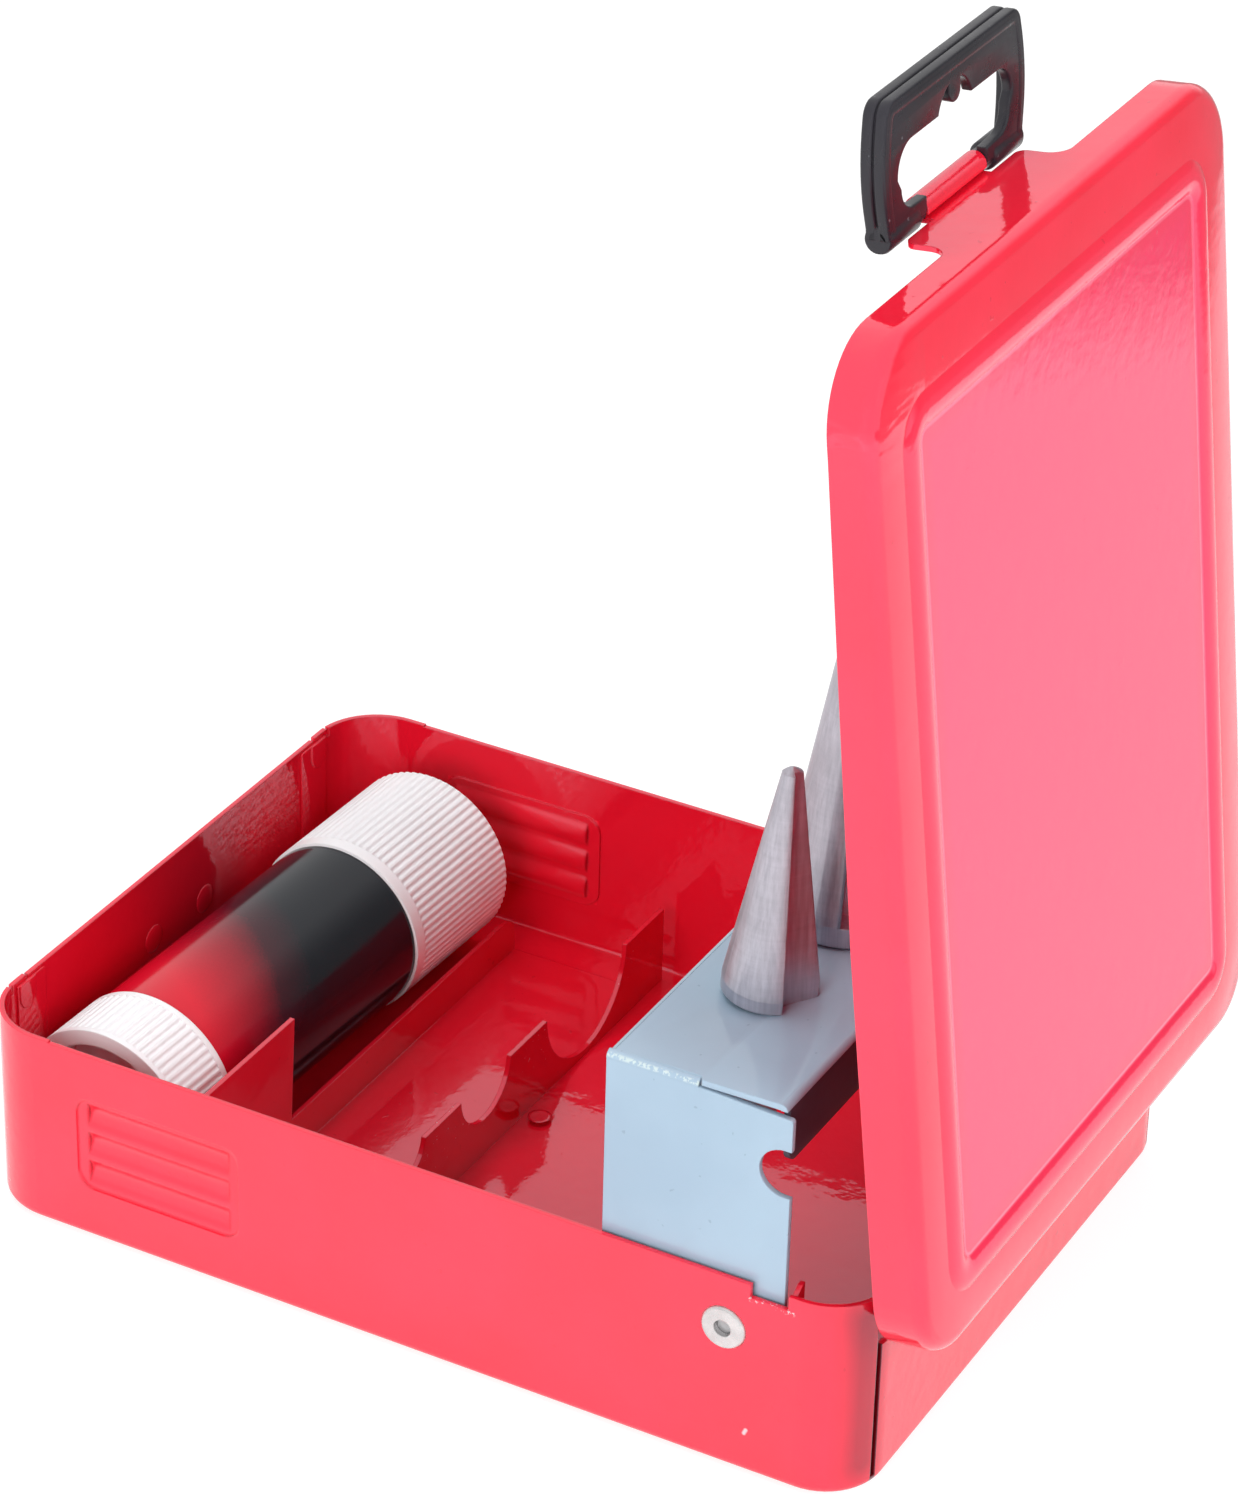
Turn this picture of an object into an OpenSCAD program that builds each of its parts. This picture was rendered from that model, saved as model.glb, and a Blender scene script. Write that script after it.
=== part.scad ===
// Drill bit case: a sheet-steel box with a hinged lid, a tilting drill rack and a stick of cutting paste.
// Frame: X along the hinge, Y from the latch to the hinge, Z up, origin under the middle of the tray.

/* [Tray] */
// Width of the tray along the hinge
tray_w = 110.4; // [109.6:0.2:111.2]
// Length of the tray from the latch wall to the hinge wall
tray_l = 150; // [149:0.5:151]
// Height of the tray walls
tray_h = 33.3; // [33.1:0.1:33.3]
// Thickness of the sheet steel of the tray and the lid
sheet = 0.8; // [0.7:0.05:0.8]
// Radius of the tray's front corners
front_r = 11; // [10.5:0.5:12]
// Radius of the tray's rear corners
rear_r = 9.5; // [9:0.5:10]
// Outside radius of the bend round the tray floor
floor_bend = 1.5; // [1.2:0.1:2]
// Gap between the lid's rim and the tray's wall
rim_gap = 0.6; // [0.55:0.05:0.65]

/* [Lid] */
// Angle that the lid is open by
lid_angle = 83.5; // [83.5:0.1:84]
// Depth of the lid's rim at the hinge
lid_depth = 7.8; // [7.4:0.1:7.9]
// Depth of the lid's rim at the latch
lid_front_depth = 6.5; // [6.2:0.1:6.8]
// Outside radius of the bend round the lid's top
lid_bend = 2; // [1.6:0.1:2.2]
// Height of the raised frame pressed into the lid
frame_rise = 0.8; // [0.6:0.1:0.9]
// Width of the raised frame
frame_w = 5; // [4.4:0.2:5.4]
// Distance of the hinge pin behind the tray
hinge_back = 2.5; // [2.5:0.05:2.6]
// Height of the hinge pin
hinge_z = 26; // [25.9:0.1:26.1]
// Radius of the hinge pin
pin_r = 1; // [0.9:0.05:1]

/* [Latch] */
// Height of the latch's axis when the lid is shut
latch_z = 19.1; // [19.1:0.1:19.3]
// Radius of the latch's bar
latch_bar_r = 0.94; // [0.9:0.01:0.96]
// Reach of the latch from its axis to its far edge
latch_reach = 18.9; // [18.6:0.1:18.9]
// Thickness of the latch's rim
latch_t = 3.6; // [3.4:0.1:3.7]
// Angle of the open latch against the lid's front rim
latch_angle = 88.3; // [86:0.1:90]

/* [Rack] */
// Thickness of the rack's sheet steel
rack_sheet = 1; // [0.9:0.05:1]
// Height of the rack's top plate
rack_top = 63.2; // [62.8:0.1:63.2]
// Distance of the rack's pivot from the middle of the tray
pivot_y = 53.5; // [53.3:0.1:53.6]
// Height of the rack's pivot
pivot_z = 24.3; // [24.3:0.1:24.4]

/* [Drills] */
// Largest diameter of the small drill
small_d = 14; // [12:0.5:14.5]
// Largest diameter of the medium drill
medium_d = 20; // [18:0.5:20.5]
// Largest diameter of the large drill
large_d = 30.4; // [28:0.2:30.4]
// Lean of the small drill in its hole
small_lean = 3.4; // [0:0.2:3.6]
// Lean of the medium drill in its hole
medium_lean = 2.7; // [0:0.1:3]
// Lean of the large drill in its hole
large_lean = 1.1; // [0:0.1:1.5]

/* [Stick] */
// Diameter of the stick's ribbed cap and base
stick_d = 29.9; // [29:0.1:30]
// Angle that the stick lies askew by
stick_yaw = 2; // [0:0.5:2]
// Number of ribs round the cap
rib_count = 72; // [48:4:80]

/* [Hidden] */
$fn = 96;

// overlap of a cutting tool with the air beside it
eps = 1;
half_w = tray_w / 2;
half_l = tray_l / 2;

// lid in its shut position
lid_half_w = half_w + rim_gap + sheet;
lid_half_l = half_l + rim_gap + sheet;
lid_in_z = tray_h + 0.6;
lid_top = lid_in_z + sheet;
lid_rim_z = lid_top - lid_front_depth;
// the rim's lower edge slopes between these stations
rim_slope_front = -62;
rim_slope_rear = 10;
lid_front_r = front_r + rim_gap + sheet;
lid_rear_r = rear_r + rim_gap + sheet;

// hinge
hinge_y = half_l + hinge_back;
barrel_r = 2.2;
barrel_bore = pin_r + 0.05;
hinge_half = 45;
knuckle = hinge_half / 5;
knuckle_gap = 0.2;

// latch
latch_x = 1.8;
latch_tube_r = 1.8;
latch_tube_bore = latch_tube_r - sheet;
latch_y = -lid_half_l + sheet - latch_tube_r;
latch_tube_half = 9;
latch_neck_r = 1.6;
latch_neck = 2.1;
latch_barrel_r = 2.1;
latch_half = 20.6;
latch_web = 1.6;
latch_rim = 2;
nib_v = 13.9;
nib_r = 1.7;

// rear panel of the tray
panel_half = 47.75;
panel_top = 24.6;
slit_w = 0.9;

// rack
rack_half = half_w - sheet - rim_gap;
rack_front = 32.7;
rack_rear = 61.2;
lip_near = -1;
lip_far = -44;
lip_depth = 5.5;
lobe_r = 8.7;
rack_bend = 1.5;
flange_low = 14.1;
cheek_slit = 0.8;
cheek_slit_y = 46;
cheek_drop = 0.7;
cheek_notch_r = 3.9;
cheek_notch_y = 61.2;
cheek_notch_z = 52.4;
drill_y = 45.4;
small_x = 28.8;
medium_x = 5.3;
large_x = -26.2;
small_shank = 3;
medium_shank = 4;
large_shank = 4.5;
shank_room = 0.25;

// eyelets
eyelet_r = 2;
eyelet_hole = 2.03;
eyelet_bore = 1.35;
eyelet_head_r = 3.2;
eyelet_head = 0.45;
eyelet_roll_r = 3.3;
eyelet_roll = 0.6;

// drill cradle
notch_z = 14.9;
flange_front = -39.2;
flange_rear = -14.4;
flange_top = 14.4;
cradle_far = -46;
cradle_near = 52;
strip_r = 3;
strip_top = 8.2;
tab_from = 22;
tab_top = 26.3;

// stick
stick_r = stick_d / 2;
stick_y = -55.6;
stick_z = sheet + stick_r + 0.02;
stick_far = -46.8;
stick_near = 46.2;
label_near = 33.5;
label_far = -17.9;
groove_r = 0.5;
recess_r = 12.4;
carrier_at = 10;
carrier_l = 3;

// ---- shared forms ----

// Plan of a box with its own corner radius at the front and the rear.
module plan(hx, hy, rf, rr) {
    translate([-hx + rf, -hy]) square([2 * (hx - rf), rf]);
    translate([-hx, -hy + rf]) square([2 * hx, 2 * hy - rf - rr]);
    translate([-hx + rr, hy - rr]) square([2 * (hx - rr), rr]);
    for (s = [-1, 1]) {
        translate([s * (hx - rf), -hy + rf]) circle(r = rf);
        translate([s * (hx - rr), hy - rr]) circle(r = rr);
    }
}

// Quarter of a disc, in the quadrant of +x and -y.
module quarter(r) {
    intersection() {
        circle(r = r);
        translate([0, -r]) square(r);
    }
}

// Straight length of a bottom bend along the local y axis.
module bend_run(r, length) {
    rotate([90, 0, 0]) linear_extrude(length, center = true) quarter(r);
}

// Bottom bend round a corner of radius big.
module bend_corner(r, big) {
    rotate_extrude(angle = 90) translate([big - r, 0]) quarter(r);
}

// Block with the box's plan whose bottom edge is bent to radius b.
module pan(hx, hy, rf, rr, b, height) {
    translate([0, 0, b]) {
        linear_extrude(height - b) plan(hx, hy, rf, rr);
        mirror([0, 0, 1]) linear_extrude(b) plan(hx - b, hy - b, rf - b, rr - b);
        for (s = [0, 1]) mirror([s, 0, 0]) {
            translate([hx - b, (rf - rr) / 2, 0]) bend_run(b, 2 * hy - rf - rr);
            translate([hx - rf, -hy + rf, 0]) rotate(-90) bend_corner(b, rf);
            translate([hx - rr, hy - rr, 0]) bend_corner(b, rr);
        }
        translate([0, hy - b, 0]) rotate(90) bend_run(b, 2 * (hx - rr));
        translate([0, -hy + b, 0]) rotate(-90) bend_run(b, 2 * (hx - rf));
    }
}

// Open pan of sheet metal.
module pan_shell(hx, hy, rf, rr, b, height) {
    difference() {
        pan(hx, hy, rf, rr, b, height);
        translate([0, 0, sheet])
            pan(hx - sheet, hy - sheet, rf - sheet, rr - sheet, b - sheet, height);
    }
}

// A piece and its mirror image across the middle plane.
module both_sides() {
    children();
    mirror([1, 0, 0]) children();
}

// Rod along X, centred on the origin.
module rod(r, length) {
    rotate([0, 90, 0]) cylinder(r = r, h = length, center = true);
}

// Rod along X from x0 to x1.
module rod_span(r, x0, x1) {
    translate([x0, 0, 0]) rotate([0, 90, 0]) cylinder(r = r, h = x1 - x0);
}

// Segment of a circle: a shallow bulge of width w and height h over the x axis.
module bulge(w, h) {
    big = (w * w / 4 + h * h) / (2 * h);
    intersection() {
        translate([0, h - big]) circle(r = big);
        translate([-w, 0]) square([2 * w, h + eps]);
    }
}

// Hinge knuckle with its bore.
module barrel(x0, x1) {
    difference() {
        rod_span(barrel_r, x0, x1);
        rod_span(barrel_bore, x0 - eps, x1 + eps);
    }
}

// ---- tray ----

grip_y = -41.95;
grip_z = 17.15;
grip_l = 28.7;
grip_h = 16.3;
grip_depth = 0.4;
rib_l = 25;
rib_w = 4.2;
rib_depth = 0.7;
rib_pitch = 5.1;

// Rounded panel of the grip, standing on the wall plane and growing along +x.
module grip_form(grow, depth) {
    rotate([0, 90, 0]) linear_extrude(depth) {
        square([grip_h + 2 * grow - 6, grip_l + 2 * grow], center = true);
        square([grip_h + 2 * grow, grip_l + 2 * grow - 6], center = true);
        for (u = [-1, 1], v = [-1, 1])
            translate([v * (grip_h / 2 + grow - 3), u * (grip_l / 2 + grow - 3)]) circle(r = 3);
    }
}

// The three finger ribs of a grip, growing along +x.
module grip_ribs(w, depth) {
    for (k = [-1, 0, 1]) translate([0, 0, k * rib_pitch])
        rotate([90, 0, 0]) linear_extrude(rib_l, center = true) rotate(-90) bulge(w, depth);
}

// Pressed grip panel on the +X wall: what it adds inside.
module grip_inside() {
    translate([half_w - sheet, grip_y, grip_z]) mirror([1, 0, 0]) {
        grip_form(sheet / 2, grip_depth);
        translate([grip_depth, 0, 0]) grip_ribs(rib_w, rib_depth);
    }
}

// Pressed grip panel on the +X wall: what it takes outside.
module grip_outside() {
    translate([half_w, grip_y, grip_z]) mirror([1, 0, 0]) {
        translate([-eps, 0, 0]) grip_form(0, grip_depth + eps);
        translate([grip_depth, 0, 0]) grip_ribs(rib_w, rib_depth);
    }
}

rim_drop = 0.25;
tab_x = 41;
tab_w = 4.2;
tab_slot = 1.5;
tab_slot_w = 0.6;
side_step_y = -61;
rim_notch_y = 57.5;
rim_notch_l = 6;
rim_notch_depth = 2.4;
keeper_w = 5;
keeper_reach = 1.8 + sheet / 2;

// Slit between the side's wrapped corner and the rear panel, with the low top of the panel.
module rear_cuts() {
    translate([panel_half, half_l - 5, floor_bend]) cube([slit_w, 5 + eps, tray_h]);
    translate([-panel_half, half_l - 5, panel_top]) cube([2 * panel_half, 5 + eps, tray_h]);
}

// Hinge leaf and barrel that the rear panel carries.
module tray_knuckle(x0, x1) {
    translate([x0, half_l - sheet, hinge_z - barrel_r])
        cube([x1 - x0, hinge_y - half_l + sheet, sheet]);
    translate([0, hinge_y, hinge_z]) barrel(x0, x1);
}

// Small tab bent in from the rim notch: it stops the rack when it stands up.
module stop_tab() {
    translate([half_w - sheet - 3.2, 64, 0]) rotate([90, 0, 0]) linear_extrude(sheet)
        polygon([[0, 30.6], [0, 33.6], [0.8, 33.4], [3.4, 31.6], [3.4, 28.6]]);
}

// Nose pressed out of the front wall for the latch to hook on.
module keeper() {
    translate([latch_x, -half_l + sheet / 2, latch_z - nib_v + nib_r + 0.2])
        rotate([90, 0, 90]) linear_extrude(keeper_w, center = true)
            polygon([[0, 0], [-keeper_reach, 0], [-keeper_reach, 0.8], [0, 2.6]]);
}

module tray_shell() {
    color("red") {
        difference() {
            union() {
                pan_shell(half_w, half_l, front_r, rear_r, floor_bend, tray_h);
                both_sides() grip_inside();
            }
            both_sides() {
                grip_outside();
                rear_cuts();
                // rim notch beside the rack
                translate([half_w - 3, rim_notch_y, tray_h - rim_notch_depth])
                    cube([3 + eps, rim_notch_l, rim_notch_depth + eps]);
                // seat of the eyelet
                translate([half_w, pivot_y, pivot_z]) rod(eyelet_hole, 8);
                // low rim from the middle of the front wall to the tab near the corner
                translate([-eps, -half_l - eps, tray_h - rim_drop])
                    cube([tab_x + eps, sheet + 2 * eps, rim_drop + eps]);
                // slots beside the small tab of the front rim
                for (x = [tab_x, tab_x + tab_w])
                    translate([x, -half_l - eps, tray_h - tab_slot])
                        cube([tab_slot_w, sheet + 2 * eps, tab_slot + eps]);
                // low rim of the side wall behind its front step
                translate([half_w - sheet - eps, side_step_y, tray_h - rim_drop])
                    cube([sheet + 2 * eps, rim_notch_y + 0.1 - side_step_y, rim_drop + eps]);
            }
        }
        both_sides() {
            stop_tab();
            tray_knuckle(3 * knuckle + knuckle_gap / 2, hinge_half);
        }
        tray_knuckle(-knuckle + knuckle_gap / 2, knuckle - knuckle_gap / 2);
        keeper();
    }
}

module hinge_pin() {
    color("silver") translate([0, hinge_y, hinge_z]) rod(pin_r, 2 * hinge_half);
}

// Hollow rivet on the +X wall.
module eyelet() {
    roll_in = rack_half - rack_sheet - 0.1 - eyelet_roll;
    translate([0, pivot_y, pivot_z]) difference() {
        union() {
            translate([half_w, 0, 0]) rotate([0, 90, 0])
                cylinder(r1 = eyelet_head_r + 0.4, r2 = eyelet_head_r, h = eyelet_head);
            rod_span(eyelet_r, roll_in, half_w + eyelet_head / 2);
            rod_span(eyelet_roll_r, roll_in, roll_in + eyelet_roll);
        }
        rod_span(eyelet_bore, roll_in - eps, half_w + eps);
    }
}

module near_eyelet() {
    color("gainsboro") eyelet();
}

module far_eyelet() {
    color("gainsboro") mirror([1, 0, 0]) eyelet();
}

// Round notch of the cradle's rear flange.
module notch(x, r) {
    translate([x, flange_rear, notch_z]) rotate([90, 0, 0]) cylinder(r = r, h = 4, center = true);
}

module drill_cradle() {
    color("crimson") difference() {
        union() {
            translate([cradle_far, flange_front, sheet])
                cube([cradle_near - cradle_far, flange_rear + sheet - flange_front, sheet]);
            // front flange: a low strip with a rounded end and a tall tab
            translate([0, flange_front + sheet, 0]) rotate([90, 0, 0]) linear_extrude(sheet) {
                translate([cradle_far, sheet])
                    square([cradle_near - cradle_far, strip_top - strip_r - sheet]);
                translate([cradle_far + strip_r, sheet])
                    square([cradle_near - cradle_far - strip_r, strip_top - sheet]);
                translate([cradle_far + strip_r, strip_top - strip_r]) circle(r = strip_r);
                polygon([[tab_from + 1.7, sheet], [tab_from, tab_top],
                    [cradle_near, tab_top], [cradle_near, sheet]]);
            }
            // rear flange, wider than the floor
            translate([-cradle_near + 0.5, flange_rear, sheet])
                cube([2 * cradle_near - 0.5, sheet, flange_top - sheet]);
            translate([-cradle_near + 0.5, flange_rear - 3, sheet])
                cube([2 * cradle_near - 0.5, 3 + sheet / 2, sheet]);
        }
        notch(29.4, 5);
        notch(6.1, 7.65);
        notch(-25.9, 13);
    }
}

// ---- lid, drawn shut and then opened about the hinge ----

// Turns a piece of the shut lid with the lid.
module with_lid() {
    translate([0, hinge_y, hinge_z]) rotate([-lid_angle, 0, 0]) translate([0, -hinge_y, -hinge_z]) children();
}

frame_x = 46;
frame_front = -63.95;
frame_rear = 66.8;
frame_r = 4.5;

// Pressed frame of the lid: four runs and four corners of the bulge.
module lid_frame(z) {
    mid_y = (frame_front + frame_rear) / 2;
    run_x = 2 * (frame_x - frame_r);
    run_y = frame_rear - frame_front - 2 * frame_r;
    translate([0, mid_y, z]) for (s = [0, 1]) {
        mirror([s, 0, 0]) translate([frame_x, 0, 0])
            rotate([90, 0, 0]) linear_extrude(run_y, center = true) bulge(frame_w, frame_rise);
        mirror([0, s, 0]) translate([0, run_y / 2 + frame_r, 0])
            rotate([90, 0, 90]) linear_extrude(run_x, center = true) bulge(frame_w, frame_rise);
        for (u = [0, 1]) mirror([s, 0, 0]) mirror([0, u, 0])
            translate([run_x / 2, run_y / 2, 0])
                rotate_extrude(angle = 90) translate([frame_r, 0]) bulge(frame_w, frame_rise);
    }
}

tongue_half = 17.8;
tongue_r = 1.6;
flare_r = 3;

// Tongue of the front rim, in the plane of the rim, with a flare at its root.
module tongue() {
    low = latch_z + latch_barrel_r + 0.3;
    translate([latch_x, -lid_half_l + sheet, 0]) rotate([90, 0, 0]) linear_extrude(sheet) {
        difference() {
            translate([-tongue_half - flare_r, lid_rim_z - flare_r])
                square([2 * (tongue_half + flare_r), flare_r + eps]);
            for (s = [-1, 1])
                translate([s * (tongue_half + flare_r), lid_rim_z - flare_r]) circle(r = flare_r);
        }
        translate([-tongue_half, low + tongue_r]) square([2 * tongue_half, lid_rim_z - low - tongue_r + eps]);
        translate([-tongue_half + tongue_r, low]) square([2 * (tongue_half - tongue_r), 3]);
        for (s = [-1, 1]) translate([s * (tongue_half - tongue_r), low + tongue_r]) circle(r = tongue_r);
        translate([-latch_tube_half, latch_z]) square([2 * latch_tube_half, 4]);
    }
}

// Curl at the tongue's end that holds the latch's bar.
module curl() {
    translate([latch_x, latch_y, latch_z]) difference() {
        rod(latch_tube_r, 2 * latch_tube_half);
        rod(latch_tube_bore, 2 * latch_tube_half + 2 * eps);
        // gap between the curl's edge and the tongue
        translate([-latch_tube_half - eps, latch_tube_r - sheet - 0.5, 0.6])
            cube([2 * (latch_tube_half + eps), 0.5, 3]);
    }
}

// Hinge leaf and barrel that the lid carries.
module lid_knuckle(x0, x1) {
    translate([x0, lid_half_l - sheet, hinge_z]) cube([x1 - x0, sheet, barrel_r + 1.2]);
    translate([0, hinge_y, hinge_z]) barrel(x0, x1);
}

module lid_shell() {
    color("red") with_lid() {
        difference() {
            union() {
                translate([0, 0, lid_top]) mirror([0, 0, 1])
                    pan_shell(lid_half_w, lid_half_l, lid_front_r, lid_rear_r, lid_bend, lid_depth);
                lid_frame(lid_top);
            }
            lid_frame(lid_in_z);
            // slope of the rim's lower edge towards the latch
            translate([0, 0, lid_rim_z]) rotate([90, 0, 90]) linear_extrude(2 * lid_half_w + 2, center = true)
                polygon([[-half_l - 5, 0], [rim_slope_front, 0],
                    [rim_slope_rear, lid_front_depth - lid_depth], [rim_slope_rear, -5], [-half_l - 5, -5]]);
            // shallow rear rim between the corners, above the barrels
            translate([-hinge_half - 1, lid_half_l - 3, lid_top - lid_depth - eps])
                cube([2 * (hinge_half + 1), 3 + eps, hinge_z + barrel_r + 0.6 - lid_top + lid_depth + eps]);
        }
        tongue();
        curl();
        both_sides() lid_knuckle(knuckle + knuckle_gap / 2, 3 * knuckle - knuckle_gap / 2);
    }
}

// ---- latch, drawn flat with its axis on X and its reach along +Y ----

latch_corner = 2.6;
latch_side_bulge = 1;
window_half = 13;
window_top = 11.9;
window_r = 4.4;
hang_v = 10.1;
hang_r = 5.4;

// Outline of the latch, grown by d, with its bulging sides.
module latch_outline(d) {
    h = latch_half + d;
    top = latch_reach + d;
    r = latch_corner + d;
    translate([-h, 0]) square([2 * h, top - r]);
    translate([-h + r, 0]) square([2 * (h - r), top]);
    for (s = [-1, 1]) {
        translate([s * (h - r), top - r]) circle(r = r);
        translate([s * h, latch_reach / 2 - 0.4]) rotate(-s * 90) bulge(15, latch_side_bulge);
    }
}

// Window: a wide opening with round ends under a round hang hole, and the nib that hangs in it.
module latch_window() {
    low = latch_barrel_r + 0.4;
    translate([-window_half, low]) square([2 * window_half, window_top - low]);
    for (s = [-1, 1]) {
        translate([s * window_half, window_top - window_r]) circle(r = window_r);
        translate([s * window_half, low + window_r - 1]) circle(r = window_r - 1);
    }
    difference() {
        translate([0, hang_v]) circle(r = hang_r);
        translate([0, nib_v]) circle(r = nib_r);
        translate([-nib_r, nib_v]) square([2 * nib_r, 3]);
    }
}

// Half of the latch's barrel: a neck beside the curl and the barrel proper.
module latch_barrel() {
    start = latch_tube_half + 0.15;
    rod_span(latch_neck_r, start, start + latch_neck + eps);
    rod_span(latch_barrel_r, start + latch_neck, latch_half);
}

module latch_form() {
    difference() {
        union() {
            linear_extrude(latch_web, center = true) difference() {
                latch_outline(0);
                latch_window();
            }
            // raised rim round the web
            linear_extrude(latch_t, center = true) difference() {
                latch_outline(0);
                latch_outline(-latch_rim);
            }
            translate([0, nib_v, 0]) cylinder(r = nib_r, h = latch_t - 0.4, center = true);
            both_sides() latch_barrel();
        }
        // parting groove round the outer edge
        linear_extrude(0.4, center = true) difference() {
            translate([-30, 3]) square([60, 30]);
            latch_outline(-0.3);
        }
        // room for the curl
        rod(latch_tube_r + 0.35, 2 * latch_tube_half + 0.3);
    }
    rod(latch_bar_r, 2 * latch_half - 4);
}

module latch_handle() {
    color("dimgray") with_lid() translate([latch_x, latch_y, latch_z])
        rotate([180 - (90 - latch_angle), 0, 0]) latch_form();
}

// ---- rack ----

// Outer or inner block of the rack: front, top and side edges bent to radius r.
module rack_block(shrink, r) {
    x = rack_half - shrink;
    y = rack_front + shrink;
    z = rack_top - shrink;
    intersection() {
        // side view, with the top front bend
        rotate([90, 0, 90]) linear_extrude(2 * x, center = true) {
            translate([y + r, 0]) square([80 - y - r, z]);
            translate([y, 0]) square([80 - y, z - r]);
            translate([y + r, z - r]) circle(r = r);
        }
        // plan, with the front corner bends
        linear_extrude(80) {
            translate([-x, y + r]) square([2 * x, 80 - y - r]);
            translate([-x + r, y]) square([2 * (x - r), 80 - y]);
            for (s = [-1, 1]) translate([s * (x - r), y + r]) circle(r = r);
        }
        // front view, with the top side bends
        translate([0, 80, 0]) rotate([90, 0, 0]) linear_extrude(60) {
            translate([-x, 0]) square([2 * x, z - r]);
            translate([-x + r, 0]) square([2 * (x - r), z]);
            for (s = [-1, 1]) translate([s * (x - r), z - r]) circle(r = r);
        }
    }
}

// Side view of what stays of the bent blank: the cheek with its round lobe.
module cheek_view() {
    translate([rack_front, flange_low]) square([pivot_y - rack_front + 3, rack_top - flange_low]);
    translate([pivot_y, pivot_z]) square([lobe_r, rack_top - pivot_z]);
    translate([pivot_y, pivot_z]) circle(r = lobe_r);
    translate([rack_front, flange_low]) square([pivot_y - rack_front, 6]);
}

module rack_bracket() {
    color("lightsteelblue") difference() {
        union() {
            intersection() {
                difference() {
                    rack_block(0, rack_bend);
                    translate([0, 0, -eps]) rack_block(rack_sheet, rack_bend - rack_sheet + 0.3);
                }
                rotate([90, 0, 90]) linear_extrude(120, center = true) cheek_view();
            }
            // stiffening lip bent back from the flange's lower edge
            translate([lip_far, rack_front, flange_low]) cube([lip_near - lip_far, lip_depth, rack_sheet]);
        }
        // rear end of the top plate
        translate([-rack_half + rack_sheet, rack_rear, rack_top - 3])
            cube([2 * (rack_half - rack_sheet), 20, 5]);
        both_sides() {
            // slit between the plate and the cheek, behind the bend
            translate([rack_half - rack_sheet - cheek_slit, cheek_slit_y, rack_top - 4])
                cube([cheek_slit, 20, 6]);
            // lower top edge of the cheek behind the bend
            translate([rack_half - rack_sheet - eps / 2, cheek_slit_y, rack_top - cheek_drop])
                cube([rack_sheet + 2 * eps, 20, cheek_drop + eps]);
            // notch in the cheek's rear edge
            translate([rack_half - 2, cheek_notch_y, cheek_notch_z]) {
                rotate([0, 90, 0]) cylinder(r = cheek_notch_r, h = 4);
                translate([0, 0, -cheek_notch_r]) cube([4, 6, 2 * cheek_notch_r]);
            }
            translate([rack_half, pivot_y, pivot_z]) rod(eyelet_r + 0.06, 6);
        }
        translate([small_x, drill_y, rack_top - 3]) cylinder(r = small_shank + shank_room, h = 6);
        translate([medium_x, drill_y, rack_top - 3]) cylinder(r = medium_shank + shank_room, h = 6);
        translate([large_x, drill_y, rack_top - 3]) cylinder(r = large_shank + shank_room, h = 6);
    }
}

// ---- drills ----

flat_depth = 0.6;
flat_turn = 13;

// V flute from the height low up: a radial cutting face and a flat that runs to the cone's apex.
module flute(r, band, cone_l, tip_d, turn, low) {
    apex = band + (cone_l - band) * r / (r - tip_d / 2);
    lean = atan(flat_depth * r / (apex - band));
    intersection() {
        rotate(turn) translate([0, 0, low]) cube([r + eps, r + eps, apex]);
        translate([0, 0, apex]) rotate([0, -lean, turn + flat_turn])
            translate([0, -apex, -1.5 * apex]) cube([apex, 2 * apex, 2 * apex]);
    }
}

// Cone drill: shank below, band and cone above, with two flutes on opposite sides.
module cone_drill(d, shank_r, shank_l, band, cone_l, tip_d, turn, low) {
    r = d / 2;
    difference() {
        rotate_extrude() polygon([[0, -shank_l], [shank_r - 0.4, -shank_l], [shank_r, -shank_l + 0.4],
            [shank_r, 0], [r - 0.5, 0], [r, 0.5], [r, band], [tip_d / 2, cone_l], [0, cone_l + tip_d * 0.3]]);
        for (k = [0, 180]) flute(r, band, cone_l, tip_d, turn + k, low);
    }
}

// Stands a drill of radius r in the rack's hole at x, leaning back until its base rests on one edge.
module on_rack(x, r, lean) {
    translate([x, drill_y, rack_top + (r - 0.5) * sin(lean)]) rotate([-lean, 0, 0]) children();
}

module small_cone_drill() {
    color("gray") on_rack(small_x, small_d / 2, small_lean)
        cone_drill(d = small_d, shank_r = small_shank, shank_l = 21, band = 2.4, cone_l = 36.6, tip_d = 3,
            turn = 42, low = -eps);
}

module medium_cone_drill() {
    color("gray") on_rack(medium_x, medium_d / 2, medium_lean)
        cone_drill(d = medium_d, shank_r = medium_shank, shank_l = 21, band = 3.7, cone_l = 48, tip_d = 8,
            turn = 22, low = 3.7);
}

module large_cone_drill() {
    color("gray") on_rack(large_x, large_d / 2, large_lean)
        cone_drill(d = large_d, shank_r = large_shank, shank_l = 25, band = 4.5, cone_l = 47, tip_d = 16,
            turn = 35, low = -eps);
}

// ---- stick of cutting paste, drawn along Z and then laid down ----

module at_stick() {
    translate([0, stick_y, stick_z]) rotate([0, 0, -stick_yaw]) rotate([0, 90, 0]) children();
}

// Tube along the stick's axis between two stations.
module sleeve(r_out, r_in, x0, x1) {
    difference() {
        translate([0, 0, x0]) cylinder(r = r_out, h = x1 - x0);
        translate([0, 0, x0 - eps]) cylinder(r = r_in, h = x1 - x0 + 2 * eps);
    }
}

// Ring of straight finger grooves.
module grooves(r, x0, x1) {
    for (k = [0 : rib_count - 1]) rotate(k * 360 / rib_count)
        translate([r + groove_r / 2, 0, x0]) cylinder(r = groove_r, h = x1 - x0, $fn = 16);
}

spindle_r = 2;
tube_r = 13.6;
tube_bore = 12.2;
label_r = 14.5;

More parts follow.
